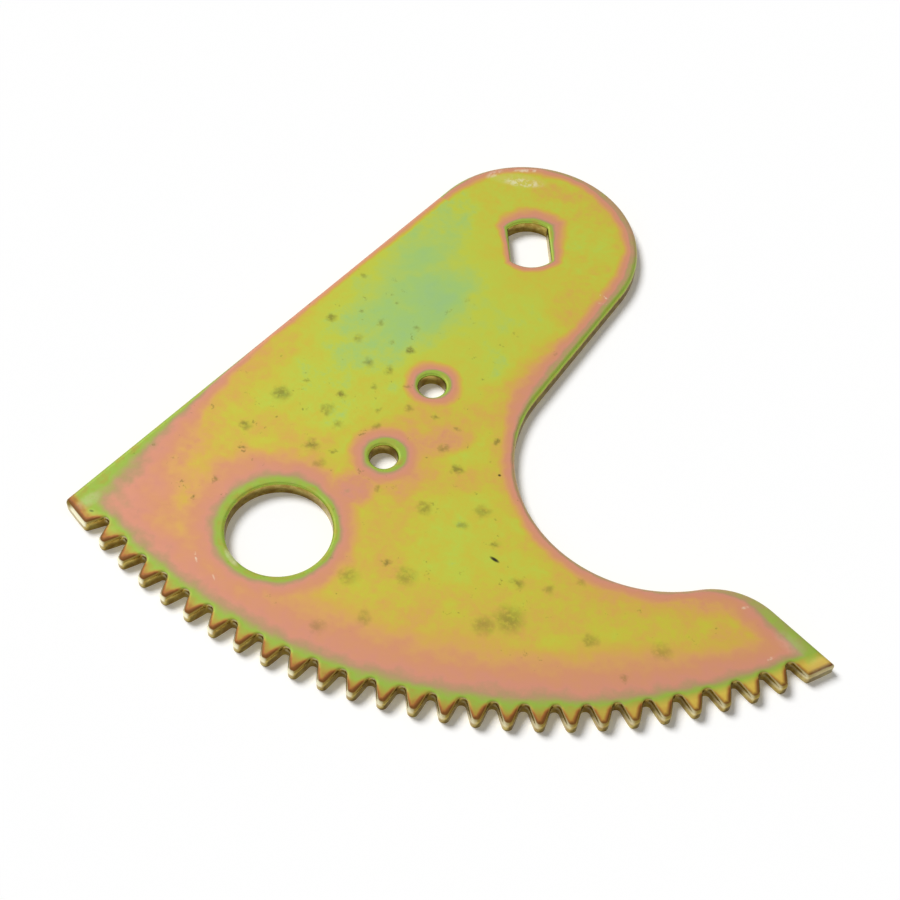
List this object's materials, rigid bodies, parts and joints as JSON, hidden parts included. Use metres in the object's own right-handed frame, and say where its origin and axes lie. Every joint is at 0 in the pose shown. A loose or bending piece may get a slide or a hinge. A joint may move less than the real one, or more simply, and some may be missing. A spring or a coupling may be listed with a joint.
{
  "type": "window regulator gear",
  "caption": "Flat steel sector gear with an arc of teeth, a double-D pivot hole, rivet holes and a hollowed side, which turns about its pivot to raise and lower a car window.",
  "frame": {"origin": "pivot axis, on the underside that the plate rests on", "axes": "+Z through the thickness, out of the face whose edges are rounded; -Y from the pivot through the two rivet holes; +X towards the side with the hollow"},
  "size_m": [0.1379, 0.1329, 0.003],
  "materials": {
    "plated_steel": "yellow chromate over zinc, satin, with green and pink tints"
  },
  "bodies": {
    "root": {"sector_gear": "plated_steel"}
  },
  "joints": []
}
